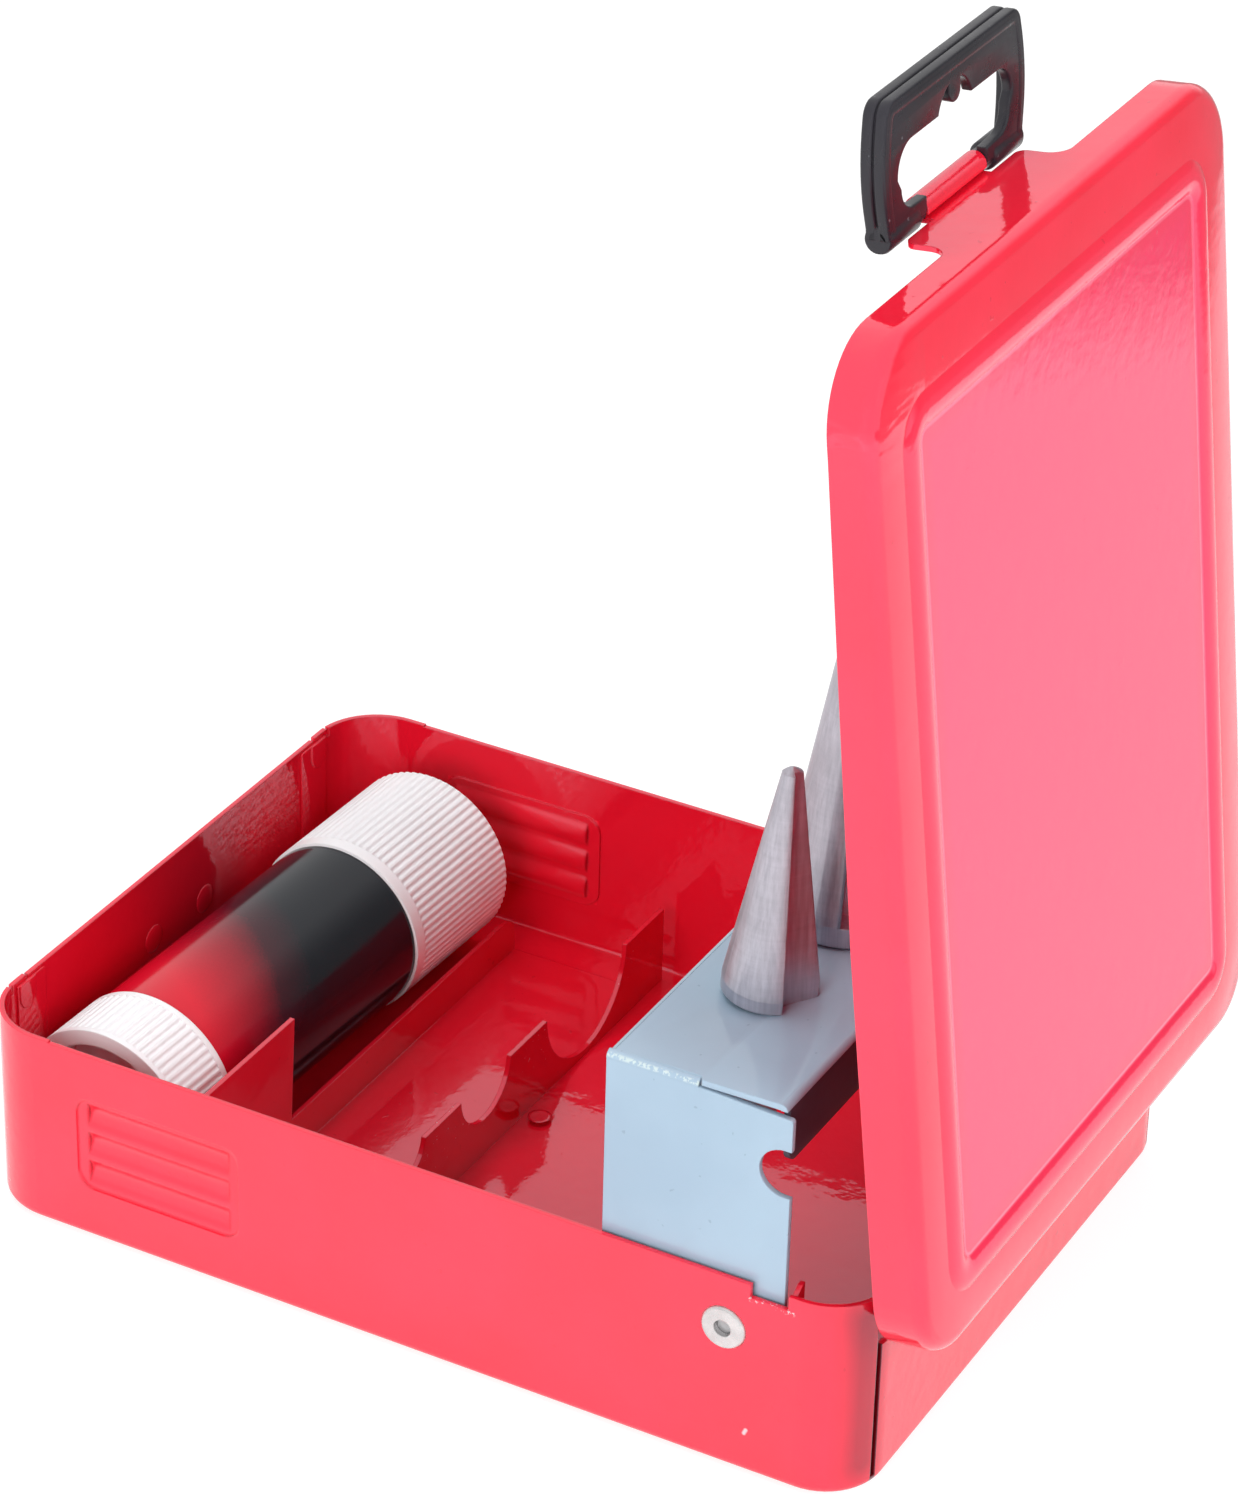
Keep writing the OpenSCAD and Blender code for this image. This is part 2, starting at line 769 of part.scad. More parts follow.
module stick_tube() {
    color("white") at_stick() {
        sleeve(tube_r, tube_bore, label_far, label_near);
        sleeve(tube_r - 0.7, tube_bore, label_far - 12, label_far);
        // inner floor that carries the spindle
        sleeve(tube_bore + 0.2, spindle_r + 0.06, label_near - 1.6, label_near);
    }
}

module stick_label() {
    color("maroon") at_stick() sleeve(label_r, tube_r, label_far, label_near);
}

module stick_cap() {
    color("white") at_stick() difference() {
        union() {
            translate([0, 0, stick_far + 2]) cylinder(r = stick_r, h = label_far - stick_far - 2.1);
            translate([0, 0, stick_far]) cylinder(r1 = stick_r - 2, r2 = stick_r, h = 2);
        }
        translate([0, 0, stick_far + 1.4]) cylinder(r = tube_r - 0.6, h = 60);
        grooves(stick_r, stick_far - eps, label_far - 2.4);
    }
}

module stick_twist_base() {
    color("white") at_stick() difference() {
        translate([0, 0, label_near + 0.1]) cylinder(r = stick_r, h = stick_near - label_near - 0.1);
        translate([0, 0, label_near + 4]) cylinder(r = recess_r, h = 20);
        grooves(stick_r, label_near + 1.2, stick_near - 1);
    }
}

module stick_spindle() {
    color("white") at_stick()
        translate([0, 0, label_far - 6]) cylinder(r = spindle_r, h = label_near - label_far + 6.1);
}

module stick_carrier() {
    color("white") at_stick() sleeve(tube_bore - 0.1, spindle_r + 0.06, carrier_at, carrier_at + carrier_l);
}

module stick_paste() {
    color("khaki") at_stick() sleeve(tube_bore - 0.3, spindle_r + 0.2, label_far - 8, carrier_at);
}

tray_shell();
drill_cradle();
hinge_pin();
near_eyelet();
far_eyelet();
lid_shell();
latch_handle();
rack_bracket();
small_cone_drill();
medium_cone_drill();
large_cone_drill();
stick_tube();
stick_label();
stick_cap();
stick_twist_base();
stick_spindle();
stick_carrier();
stick_paste();
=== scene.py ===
"""Drill bit case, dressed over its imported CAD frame. Units are metres unless a name says mm."""

import math

import bmesh
import bpy
from mathutils import Euler, Matrix, Vector


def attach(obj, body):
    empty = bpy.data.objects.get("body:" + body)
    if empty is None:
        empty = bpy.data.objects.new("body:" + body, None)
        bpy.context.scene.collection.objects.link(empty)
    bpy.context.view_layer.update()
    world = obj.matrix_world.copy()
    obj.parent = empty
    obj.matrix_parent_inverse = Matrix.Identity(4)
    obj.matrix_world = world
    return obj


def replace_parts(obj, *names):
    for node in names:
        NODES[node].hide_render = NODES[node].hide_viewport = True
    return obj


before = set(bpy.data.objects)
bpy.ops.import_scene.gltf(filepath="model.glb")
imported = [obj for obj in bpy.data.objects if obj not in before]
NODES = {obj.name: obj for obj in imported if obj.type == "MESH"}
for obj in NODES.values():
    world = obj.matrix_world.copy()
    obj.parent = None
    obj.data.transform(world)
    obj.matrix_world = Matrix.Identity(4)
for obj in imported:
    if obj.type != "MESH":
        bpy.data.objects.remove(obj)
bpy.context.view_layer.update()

MM = 0.001

# Places that the materials and pieces share with the CAD, in metres.
TRAY_HALF_X, TRAY_HALF_Y, TRAY_CORNER = 0.0552, 0.075, 0.0105
SLIT_X, SLIT_HALF, REAR_INSIDE = 0.0482, 0.00050, 0.0734
# A line down the tray's rear corner, beside the narrow gap to the rear panel, along which the enamel is
# coloured darker.
DARKER_REAR_CORNER = ((0.0505, 0.074, 0.005), (0.0505, 0.074, 0.030))
GRIP_Y, GRIP_HALF_Y = -0.04195, 0.01425
GRIP_Z, GRIP_HALF_Z = 0.01715, 0.00805
GRIP_FROM_X, GRIP_DEPTH = 0.0530, 0.00065
LID_HINGE, LID_OPENING = (0.0, 0.0775, 0.026), math.radians(83.5)
LID_FRAME_Y, LID_FRAME_HALF, LID_FRAME_CORNER = -0.076075, (0.046, 0.065375), 0.0045
LID_MARGIN_FROM, LID_LEAN, LID_CREASE = 0.0020, -14.0, -0.0027
LID_OUTER_FACE = (0.0082, 0.0084)
PUCKERED_CORNER = (0.0535, 0.0662, 0.1735)

# Middle and turn of the stick, as the CAD lays it, and where its label ends towards the seam.
STICK_MIDDLE, STICK_YAW = (0.0, -0.0556, 0.01577), math.radians(-2.0)
LABEL_SEAM_TO = 0.0170


# ---------------------------------------------------------------- node helpers

def new_material(name):
    """An empty node material: the material, its node tree and the tree's output node."""
    mat = bpy.data.materials.new(name)
    mat.use_nodes = True
    tree = mat.node_tree
    tree.nodes.clear()
    out = tree.nodes.new("ShaderNodeOutputMaterial")
    return mat, tree, out


def node(tree, kind, **settings):
    """A node with its settings. Names of inputs are given as in_Name with spaces as underscores."""
    n = tree.nodes.new(kind)
    for key, value in settings.items():
        if key.startswith("in_"):
            n.inputs[key[3:].replace("_", " ")].default_value = value
        else:
            setattr(n, key, value)
    return n


def link(tree, source, target):
    tree.links.new(source, target)


def object_coords(tree):
    return tree.nodes.new("ShaderNodeTexCoord").outputs["Object"]


def noise(tree, scale, detail=2.0, rough=0.5, vector=None):
    """Noise over the object's own coordinates; scale is features per metre."""
    n = node(tree, "ShaderNodeTexNoise", in_Scale=scale, in_Detail=detail, in_Roughness=rough)
    link(tree, vector or object_coords(tree), n.inputs["Vector"])
    return n.outputs["Fac"]


def remap(tree, value, low, high, to_low, to_high):
    n = node(tree, "ShaderNodeMapRange", clamp=True)
    n.inputs["From Min"].default_value = low
    n.inputs["From Max"].default_value = high
    n.inputs["To Min"].default_value = to_low
    n.inputs["To Max"].default_value = to_high
    link(tree, value, n.inputs["Value"])
    return n.outputs["Result"]


def mix_color(tree, factor, a, b):
    """Mix of two colours, each a tuple or an output."""
    n = node(tree, "ShaderNodeMix", data_type="RGBA")
    if hasattr(factor, "links"):
        link(tree, factor, n.inputs[0])
    else:
        n.inputs[0].default_value = factor
    for value, socket in ((a, n.inputs[6]), (b, n.inputs[7])):
        if isinstance(value, tuple):
            socket.default_value = (*value, 1.0)
        else:
            link(tree, value, socket)
    return n.outputs[2]


def bump(tree, height, strength, distance, normal=None):
    n = node(tree, "ShaderNodeBump", in_Strength=strength, in_Distance=distance)
    link(tree, height, n.inputs["Height"])
    if normal is not None:
        link(tree, normal, n.inputs["Normal"])
    return n.outputs["Normal"]


def math_node(tree, operation, a, b=None, clamp=False):
    """One arithmetic step on outputs or plain numbers."""
    n = node(tree, "ShaderNodeMath", operation=operation, use_clamp=clamp)
    for k, value in enumerate((a, b)):
        if value is None:
            continue
        if hasattr(value, "links"):
            link(tree, value, n.inputs[k])
        else:
            n.inputs[k].default_value = value
    return n.outputs[0]


def plus(tree, a, b, clamp=False):
    return math_node(tree, "ADD", a, b, clamp)


def minus(tree, a, b):
    return math_node(tree, "SUBTRACT", a, b)


def times(tree, a, b):
    return math_node(tree, "MULTIPLY", a, b)


def larger(tree, a, b):
    return math_node(tree, "MAXIMUM", a, b)


def absolute(tree, a):
    return math_node(tree, "ABSOLUTE", a)


def rise(tree, value, low, high):
    """0 up to low, 1 from high."""
    return remap(tree, value, low, high, 0.0, 1.0)


def fall(tree, value, low, high):
    """1 up to low, 0 from high."""
    return remap(tree, value, low, high, 1.0, 0.0)


def band(tree, value, middle, half, fade):
    """1 within half of middle, falling to 0 over fade."""
    return fall(tree, absolute(tree, minus(tree, value, middle)), half, half + fade)


# ---------------------------------------------------------------- material helpers

def split(tree, vector=None):
    """The x, y and z outputs of a vector, by default the object's coordinates."""
    n = tree.nodes.new("ShaderNodeSeparateXYZ")
    link(tree, vector or object_coords(tree), n.inputs[0])
    return n.outputs[0], n.outputs[1], n.outputs[2]


def placed(tree, location, rotation):
    """The x, y and z outputs of the object's coordinates in a frame with its own location and turn."""
    n = node(tree, "ShaderNodeMapping", vector_type="TEXTURE")
    n.inputs["Location"].default_value = location
    n.inputs["Rotation"].default_value = rotation
    link(tree, object_coords(tree), n.inputs["Vector"])
    return split(tree, n.outputs[0])


def stretched(tree, scale, turn=(0.0, 0.0, 0.0)):
    """The object's coordinates, turned and scaled along each axis."""
    n = node(tree, "ShaderNodeMapping")
    n.inputs["Scale"].default_value = scale
    n.inputs["Rotation"].default_value = turn
    link(tree, object_coords(tree), n.inputs["Vector"])
    return n.outputs[0]


def near(tree, place, inner, outer):
    """1 within inner of a place (metres), falling to 0 at outer."""
    n = node(tree, "ShaderNodeVectorMath", operation="DISTANCE")
    link(tree, object_coords(tree), n.inputs[0])
    n.inputs[1].default_value = place
    return fall(tree, n.outputs["Value"], inner, outer)


def along(tree, start, end, inner, outer):
    """1 within inner of the straight line between two places, falling to 0 at outer."""
    axis = Vector(end) - Vector(start)
    off = node(tree, "ShaderNodeVectorMath", operation="SUBTRACT")
    link(tree, object_coords(tree), off.inputs[0])
    off.inputs[1].default_value = start
    dot = node(tree, "ShaderNodeVectorMath", operation="DOT_PRODUCT")
    link(tree, off.outputs[0], dot.inputs[0])
    dot.inputs[1].default_value = axis / axis.length_squared
    share = rise(tree, dot.outputs["Value"], 0.0, 1.0)
    on_line = node(tree, "ShaderNodeVectorMath", operation="SCALE")
    on_line.inputs[0].default_value = axis
    link(tree, share, on_line.inputs["Scale"])
    gap = node(tree, "ShaderNodeVectorMath", operation="DISTANCE")
    link(tree, off.outputs[0], gap.inputs[0])
    link(tree, on_line.outputs[0], gap.inputs[1])
    return fall(tree, gap.outputs["Value"], inner, outer)


def patches(tree, mask, scale, low, high, detail=3.0):
    """Ragged patches inside a mask, from noise between two levels."""
    return times(tree, mask, rise(tree, noise(tree, scale, detail, 0.6), low, high))


def soft_edges(tree, radius, wider=None):
    """Normals that round sharp edges a little; wider is an output that adds radius where it's wanted."""
    n = node(tree, "ShaderNodeBevel", samples=4, in_Radius=radius)
    if wider is not None:
        link(tree, plus(tree, wider, radius), n.inputs["Radius"])
    return n.outputs[0]


def grip_mask(tree):
    """1 over the ribs pressed into the tray's side walls."""
    x, y, z = split(tree)
    along_y = band(tree, y, GRIP_Y, GRIP_HALF_Y, 0.0001)
    up_z = band(tree, z, GRIP_Z, GRIP_HALF_Z, 0.0001)
    side = rise(tree, absolute(tree, x), GRIP_FROM_X, GRIP_FROM_X + 0.0002)
    return times(tree, times(tree, along_y, up_z), side)


def rounded_distance(tree, x, y, half_x, half_y, r):
    """Signed distance from a rounded rectangle about the origin, in metres, below 0 inside it."""
    qx = minus(tree, absolute(tree, x), half_x - r)
    qy = minus(tree, absolute(tree, y), half_y - r)
    ox, oy = larger(tree, qx, 0.0), larger(tree, qy, 0.0)
    far = math_node(tree, "SQRT", plus(tree, times(tree, ox, ox), times(tree, oy, oy)))
    inner = math_node(tree, "MINIMUM", larger(tree, qx, qy), 0.0)
    return minus(tree, plus(tree, far, inner), r)


def lid_place(tree):
    """Coordinates of the shut lid about its hinge, in metres."""
    return placed(tree, LID_HINGE, (-LID_OPENING, 0.0, 0.0))


def lid_frame_distance(tree):
    """Signed distance from the middle line of the lid's pressed frame, in metres."""
    x, y, _ = lid_place(tree)
    return rounded_distance(tree, x, minus(tree, y, LID_FRAME_Y), *LID_FRAME_HALF, LID_FRAME_CORNER)


def tray_inside(tree):
    """1 on the surfaces inside the tray's walls."""
    x, y, z = split(tree)
    away = rounded_distance(tree, x, y, TRAY_HALF_X, TRAY_HALF_Y, TRAY_CORNER)
    away = plus(tree, away, times(tree, grip_mask(tree), GRIP_DEPTH))
    return times(tree, fall(tree, away, -0.00052, -0.00048), rise(tree, z, 0.0002, 0.0005))


def lid_relief(tree, base):
    """The lid's margin leans outwards beyond the pressed frame, and its near front corner is puckered."""
    away = lid_frame_distance(tree)
    beyond = larger(tree, minus(tree, away, LID_MARGIN_FROM), 0.0)
    lean = times(tree, times(tree, beyond, beyond), LID_LEAN)
    leaning = bump(tree, lean, 1.0, 1.0, base)
    corner = near(tree, PUCKERED_CORNER, 0.006, 0.013)
    ripple = noise(tree, 150.0, 2.0, 0.5, stretched(tree, (0.4, 1.0, 1.6), (0.2, 0.5, 0.1)))
    return bump(tree, times(tree, ripple, corner), 1.0, 0.0006, leaning)


# ---------------------------------------------------------------- materials

def darker(tone, share):
    """A colour with each channel at a share of its own."""
    return tuple(share * c for c in tone)


def tray_tones_and_painted_shade(tree, tone, deep):
    """The tray's tones: darker along the rear corner, painted shade in the gap between the side and the
    rear panel, and painted shade over the inside.
    """
    x, y, _ = split(tree)
    # Darker along the rear corner, beside the narrow gap to the rear panel.
    tone = mix_color(tree, along(tree, *DARKER_REAR_CORNER, 0.001, 0.0055), tone, darker(deep, 0.50))
    in_rear = rise(tree, y, REAR_INSIDE, REAR_INSIDE + 0.0002)
    # Painted shade: the faces of the narrow gap at the rear are coloured near black.
    slit_shade = times(tree, band(tree, x, SLIT_X, SLIT_HALF, 0.00006), in_rear)
    tone = mix_color(tree, slit_shade, tone, (0.13, 0.003, 0.006))
    # Painted shade: the surfaces inside the walls take a darker red than the outside.
    return mix_color(tree, tray_inside(tree), tone, darker(deep, 0.87))


def lid_painted_reflection_and_highlight(tree, tone):
    """The lid's painted light: a pinker outer face within the pressed frame, a painted reflection, and a
    pale line where the frame turns up, a painted highlight.
    """
    away = lid_frame_distance(tree)
    outer = rise(tree, lid_place(tree)[2], *LID_OUTER_FACE)
    # Painted reflection: the outer face inside the pressed frame is tinted pinker.
    panel_reflection = times(tree, fall(tree, away, -0.006, 0.003), outer)
    tone = mix_color(tree, panel_reflection, tone, (0.90, 0.013, 0.088))
    # Painted highlight: a pale line along the crease where the pressed frame turns up.
    from_crease = absolute(tree, minus(tree, away, LID_CREASE))
    return mix_color(tree, remap(tree, from_crease, 0.0001, 0.00045, 0.5, 0.0), tone, (1.0, 0.22, 0.34))


def enamel(name, deep, light, chips=(), chip_tone=(0.62, 0.56, 0.58), ior=1.8, peel=0.10,
           gloss=(0.045, 0.085), dust=0.0, sheen=(1.0, 0.82, 1.0, 1.0), lid=False, tray=False):
    """Stoved enamel on sheet steel: a glossy coat with orange peel, faint clouds, dust nibs and chips.

    chips holds (start, end, width, amount) lines where the coat is broken along an edge. lid and tray add
    what belongs to those pressings, with the lid's painted reflection and highlight and the tray's painted
    shade.
    """
    mat, tree, out = new_material(name)
    shader = node(tree, "ShaderNodeBsdfPrincipled", in_IOR=ior)
    shader.inputs["Specular Tint"].default_value = sheen
    cloud = rise(tree, noise(tree, 38.0, 3.0), 0.35, 0.65)
    tone = mix_color(tree, cloud, deep, light)
    nibs = rise(tree, noise(tree, 900.0, 1.0, 0.3), 0.77, 0.80)
    tone = mix_color(tree, times(tree, nibs, 0.35), tone, darker(deep, 0.55))
    rough = remap(tree, noise(tree, 120.0, 4.0), 0.3, 0.7, *gloss)
    if dust:
        smear = remap(tree, noise(tree, 70.0, 3.0, 0.6, stretched(tree, (1.0, 0.4, 1.0), (0.3, 0.2, 0.5))),
                      0.56, 0.70, 0.0, dust)
        rough = plus(tree, rough, smear)
    broken = None
    for start, end, width, amount in chips:
        line = along(tree, start, end, 0.3 * width, width)
        spot = patches(tree, line, 1500.0, amount - 0.02, amount + 0.02, 4.0)
        broken = spot if broken is None else larger(tree, broken, spot)
    if tray:
        tone = tray_tones_and_painted_shade(tree, tone, deep)
    if lid:
        tone = lid_painted_reflection_and_highlight(tree, tone)
    if broken is not None:
        tone = mix_color(tree, broken, tone, chip_tone)
        rough = plus(tree, rough, times(tree, broken, 0.4), clamp=True)
    link(tree, tone, shader.inputs["Base Color"])
    link(tree, rough, shader.inputs["Roughness"])
    wider = times(tree, grip_mask(tree), 0.0006) if tray else None
    edge = soft_edges(tree, 0.00025, wider)
    if lid:
        edge = lid_relief(tree, edge)
    waves = bump(tree, noise(tree, 330.0, 2.0, 0.5), peel, 0.0005, edge)
    fine = bump(tree, noise(tree, 1900.0, 2.0), 0.05, 0.0001, waves)
    pitted = bump(tree, nibs, 0.25, 0.00006, fine)
    if broken is not None:
        pitted = bump(tree, broken, -0.6, 0.0001, pitted)
    link(tree, pitted, shader.inputs["Normal"])
    link(tree, shader.outputs[0], out.inputs[0])
    return mat


def ground_steel(name):
    """Ground tool steel: fine streaks along the cone, rings of the grinding wheel and darker smears."""
    mat, tree, out = new_material(name)
    shader = node(tree, "ShaderNodeBsdfPrincipled", in_Metallic=0.82)
    streak = noise(tree, 1400.0, 4.0, 0.65, stretched(tree, (1.0, 1.0, 0.05)))
    ring = noise(tree, 1100.0, 3.0, 0.6, stretched(tree, (0.08, 0.08, 1.0)))
    smear = noise(tree, 85.0, 3.0)
    grain = plus(tree, times(tree, streak, 0.75), times(tree, ring, 0.25))
    tone = mix_color(tree, rise(tree, grain, 0.36, 0.64), (0.40, 0.38, 0.43), (0.57, 0.55, 0.61))
    tone = mix_color(tree, remap(tree, smear, 0.48, 0.75, 0.0, 0.4), tone, (0.32, 0.31, 0.34))
    link(tree, tone, shader.inputs["Base Color"])
    link(tree, remap(tree, grain, 0.35, 0.65, 0.30, 0.46), shader.inputs["Roughness"])
    edge = soft_edges(tree, 0.0002)
    link(tree, bump(tree, grain, 0.22, 0.00008, edge), shader.inputs["Normal"])
    link(tree, shader.outputs[0], out.inputs[0])
    return mat


def plastic(name, a, b, rough=(0.32, 0.46), grain=1500.0, marks=None):
    """Moulded plastic with a fine grain, a slight change of tone and pale handling marks."""
    mat, tree, out = new_material(name)
    shader = node(tree, "ShaderNodeBsdfPrincipled", in_IOR=1.48)
    cloud = rise(tree, noise(tree, 60.0, 2.0), 0.35, 0.65)
    tone = mix_color(tree, cloud, a, b)
    if marks:
        specks = remap(tree, noise(tree, 1100.0, 2.0, 0.4), 0.73, 0.78, 0.0, 0.6)
        tone = mix_color(tree, specks, tone, marks)
    link(tree, tone, shader.inputs["Base Color"])
    link(tree, remap(tree, noise(tree, 300.0, 3.0), 0.3, 0.7, *rough), shader.inputs["Roughness"])
    edge = soft_edges(tree, 0.0003)
    link(tree, bump(tree, noise(tree, grain, 2.0), 0.08, 0.0001, edge), shader.inputs["Normal"])
    link(tree, shader.outputs[0], out.inputs[0])
    return mat


def metal(name, a, b, rough=(0.22, 0.38)):
    """Bare soft metal with small marks."""
    mat, tree, out = new_material(name)
    shader = node(tree, "ShaderNodeBsdfPrincipled", in_Metallic=1.0)
    marks = rise(tree, noise(tree, 400.0, 4.0, 0.6), 0.30, 0.75)
    link(tree, mix_color(tree, marks, a, b), shader.inputs["Base Color"])
    link(tree, remap(tree, noise(tree, 700.0, 3.0), 0.3, 0.7, *rough), shader.inputs["Roughness"])
    edge = soft_edges(tree, 0.0004)
    link(tree, bump(tree, noise(tree, 900.0, 3.0), 0.12, 0.0001, edge), shader.inputs["Normal"])
    link(tree, shader.outputs[0], out.inputs[0])
    return mat


def label_film(name):
    """Printed film on the stick: black by the cap, fading through maroon to red by the base.

    The fade runs askew round the stick, and a pale seam shows low on the side towards the hinge.
    """
    mat, tree, out = new_material(name)
    shader = node(tree, "ShaderNodeBsdfPrincipled", in_IOR=1.42)
    x, y, z = placed(tree, STICK_MIDDLE, (0.0, 0.0, STICK_YAW))
    angle = math_node(tree, "ARCTAN2", z, y)
    haze = minus(tree, noise(tree, 55.0, 3.0, 0.6), 0.5)
    speckle = minus(tree, noise(tree, 2600.0, 2.0, 0.6), 0.5)
    slant = times(tree, minus(tree, 1.75, angle), 0.0085)
    drift = plus(tree, times(tree, haze, 0.003), times(tree, speckle, 0.003))
    station = plus(tree, minus(tree, x, slant), drift)
    black, maroon, red = (0.009, 0.011, 0.016), (0.085, 0.004, 0.014), (0.70, 0.006, 0.026)
    dark = mix_color(tree, rise(tree, station, -0.002, 0.012), black, maroon)
    tone = mix_color(tree, rise(tree, station, 0.006, 0.025), dark, red)
    under = times(tree, rise(tree, angle, -1.5, -1.45), fall(tree, angle, -0.72, -0.68))
    seam = times(tree, fall(tree, x, LABEL_SEAM_TO, LABEL_SEAM_TO + 0.0005), under)
    tone = mix_color(tree, seam, tone, (0.80, 0.76, 0.80))
    link(tree, tone, shader.inputs["Base Color"])
    link(tree, remap(tree, noise(tree, 250.0, 3.0), 0.3, 0.7, 0.13, 0.2), shader.inputs["Roughness"])
    link(tree, bump(tree, noise(tree, 160.0, 2.0), 0.04, 0.0003), shader.inputs["Normal"])
    link(tree, shader.outputs[0], out.inputs[0])
    return mat


PLAIN_SHEEN = (1.0, 1.0, 1.0, 1.0)
RED_DEEP, RED_LIGHT = (0.86, 0.008, 0.028), (0.92, 0.012, 0.040)
# The tray is chipped at the rim behind the rack's cheek and nicked low on the near wall.
RED = enamel("red_enamel", RED_DEEP, RED_LIGHT, dust=0.10, peel=0.16, tray=True,
             chips=[((0.0552, 0.0572, 0.0310), (0.0552, 0.0640, 0.0308), 0.0008, 0.58),
                    ((0.0552, 0.0574, 0.0070), (0.0552, 0.0577, 0.0077), 0.0004, 0.30)])
RED_LID = enamel("red_enamel_lid", RED_DEEP, RED_LIGHT, ior=1.95, sheen=(1.0, 0.74, 1.0, 1.0), lid=True)
# The cradle is worn along the edge that the drills lie against. Its red is darker than the tray's, which is
# painted shade, as it lies deep in the tray.
RED_CRADLE = enamel("red_enamel_cradle", (0.66, 0.007, 0.020), (0.72, 0.009, 0.028), dust=0.05,
                    chips=[((-0.0386, -0.0144, 0.012), (0.036, -0.0144, 0.012), 0.0065, 0.70)])
# The rack is chipped along its near bend and where its cheek turns in the tray.
GREY = enamel("grey_enamel", (0.315, 0.43, 0.54), (0.35, 0.475, 0.585), ior=1.6, sheen=PLAIN_SHEEN,
              peel=0.06, gloss=(0.045, 0.09),
              chips=[((0.0536, 0.033, 0.0627), (0.0536, 0.0475, 0.0627), 0.0005, 0.50),
                     ((0.0538, 0.050, 0.0150), (0.0538, 0.062, 0.0160), 0.0010, 0.60)],
              chip_tone=(0.50, 0.60, 0.60))
# A near-black copy of the grey enamel for the rack's rear flange: painted shade where the flange faces the
# lid.
GREY_PAINTED_SHADE = enamel("grey_enamel_painted_shade", (0.035, 0.026, 0.038), (0.045, 0.034, 0.048), ior=1.35,
                     sheen=PLAIN_SHEEN, peel=0.06, gloss=(0.3, 0.4))
STEEL = ground_steel("ground_steel")
PIN = metal("pin_steel", (0.42, 0.42, 0.43), (0.56, 0.56, 0.57))
ALUMINIUM = metal("eyelet_aluminium", (0.62, 0.60, 0.60), (0.80, 0.78, 0.78), rough=(0.18, 0.32))
BLACK = plastic("black_plastic", (0.010, 0.0095, 0.014), (0.017, 0.0155, 0.022), rough=(0.24, 0.36),
                grain=2200.0, marks=(0.16, 0.17, 0.19))
WHITE = plastic("white_plastic", (0.93, 0.92, 0.94), (0.97, 0.96, 0.98))
LABEL = label_film("label_film")
PASTE = plastic("paste", (0.72, 0.66, 0.42), (0.80, 0.74, 0.50), rough=(0.45, 0.6))

LOOKS = {
    "tray_shell": RED, "drill_cradle": RED_CRADLE, "lid_shell": RED_LID, "rack_bracket": GREY,
    "hinge_pin": PIN, "near_eyelet": ALUMINIUM, "far_eyelet": ALUMINIUM,
    "small_cone_drill": STEEL, "medium_cone_drill": STEEL, "large_cone_drill": STEEL,
    "latch_handle": BLACK, "stick_tube": WHITE, "stick_label": LABEL, "stick_cap": WHITE,
    "stick_twist_base": WHITE, "stick_spindle": WHITE, "stick_carrier": WHITE, "stick_paste": PASTE,
}
for name, look in LOOKS.items():
    slots = NODES[name].material_slots
    if slots:
        for s in slots:
            s.material = look
    else:
        NODES[name].data.materials.append(look)


# ---------------------------------------------------------------- piece helpers

def axes(u, v, origin):
    """Matrix that lays local x along u and local y along v, from an origin in mm."""
    u, v = Vector(u), Vector(v)
    m = Matrix((u, v, u.cross(v))).transposed().to_4x4()
    m.translation = Vector(origin) * MM
    return m


def arc(cx, cy, r, start, end, steps):
    """Points along an arc, in mm and degrees."""
    turns = [math.radians(start + (end - start) * k / steps) for k in range(steps + 1)]
    return [(cx + r * math.cos(a), cy + r * math.sin(a)) for a in turns]


def flat_sheet(bm, loops, thick, place, edge=0.12):
    """Adds a flat piece of sheet with rounded cut edges: loops are its outline and holes, in mm."""
    curve = bpy.data.curves.new("outline", "CURVE")
    curve.dimensions = "2D"
    curve.fill_mode = "BOTH"
    curve.extrude = (thick / 2 - edge) * MM
    curve.bevel_depth = edge * MM
    curve.bevel_resolution = 2
    curve.offset = -edge * MM
    for loop in loops:
        spline = curve.splines.new("POLY")
        spline.points.add(len(loop) - 1)
        for point, (u, v) in zip(spline.points, loop):
            point.co = (u * MM, v * MM, 0.0, 1.0)
        spline.use_cyclic_u = True
    ob = bpy.data.objects.new("outline", curve)
    bpy.context.scene.collection.objects.link(ob)
    mesh = bpy.data.meshes.new_from_object(ob.evaluated_get(bpy.context.evaluated_depsgraph_get()))
    mesh.transform(place)
    bm.from_mesh(mesh)
    bpy.data.objects.remove(ob)
    bpy.data.curves.remove(curve)
    bpy.data.meshes.remove(mesh)


def bend_strip(bm, r, thick, length, place, steps=8):
    """Adds a quarter bend of sheet: outside radius r about the local z axis, from local x to local y."""
    ring = arc(0, 0, r, 0, 90, steps) + arc(0, 0, r - thick, 90, 0, steps)
    ends = [[bm.verts.new(place @ Vector((u * MM, v * MM, w * MM))) for u, v in ring] for w in (0, length)]
    count = len(ring)
    for k in range(count):
        n = (k + 1) % count
        bm.faces.new((ends[0][k], ends[0][n], ends[1][n], ends[1][k]))
    bm.faces.new(list(reversed(ends[0])))
    bm.faces.new(ends[1])


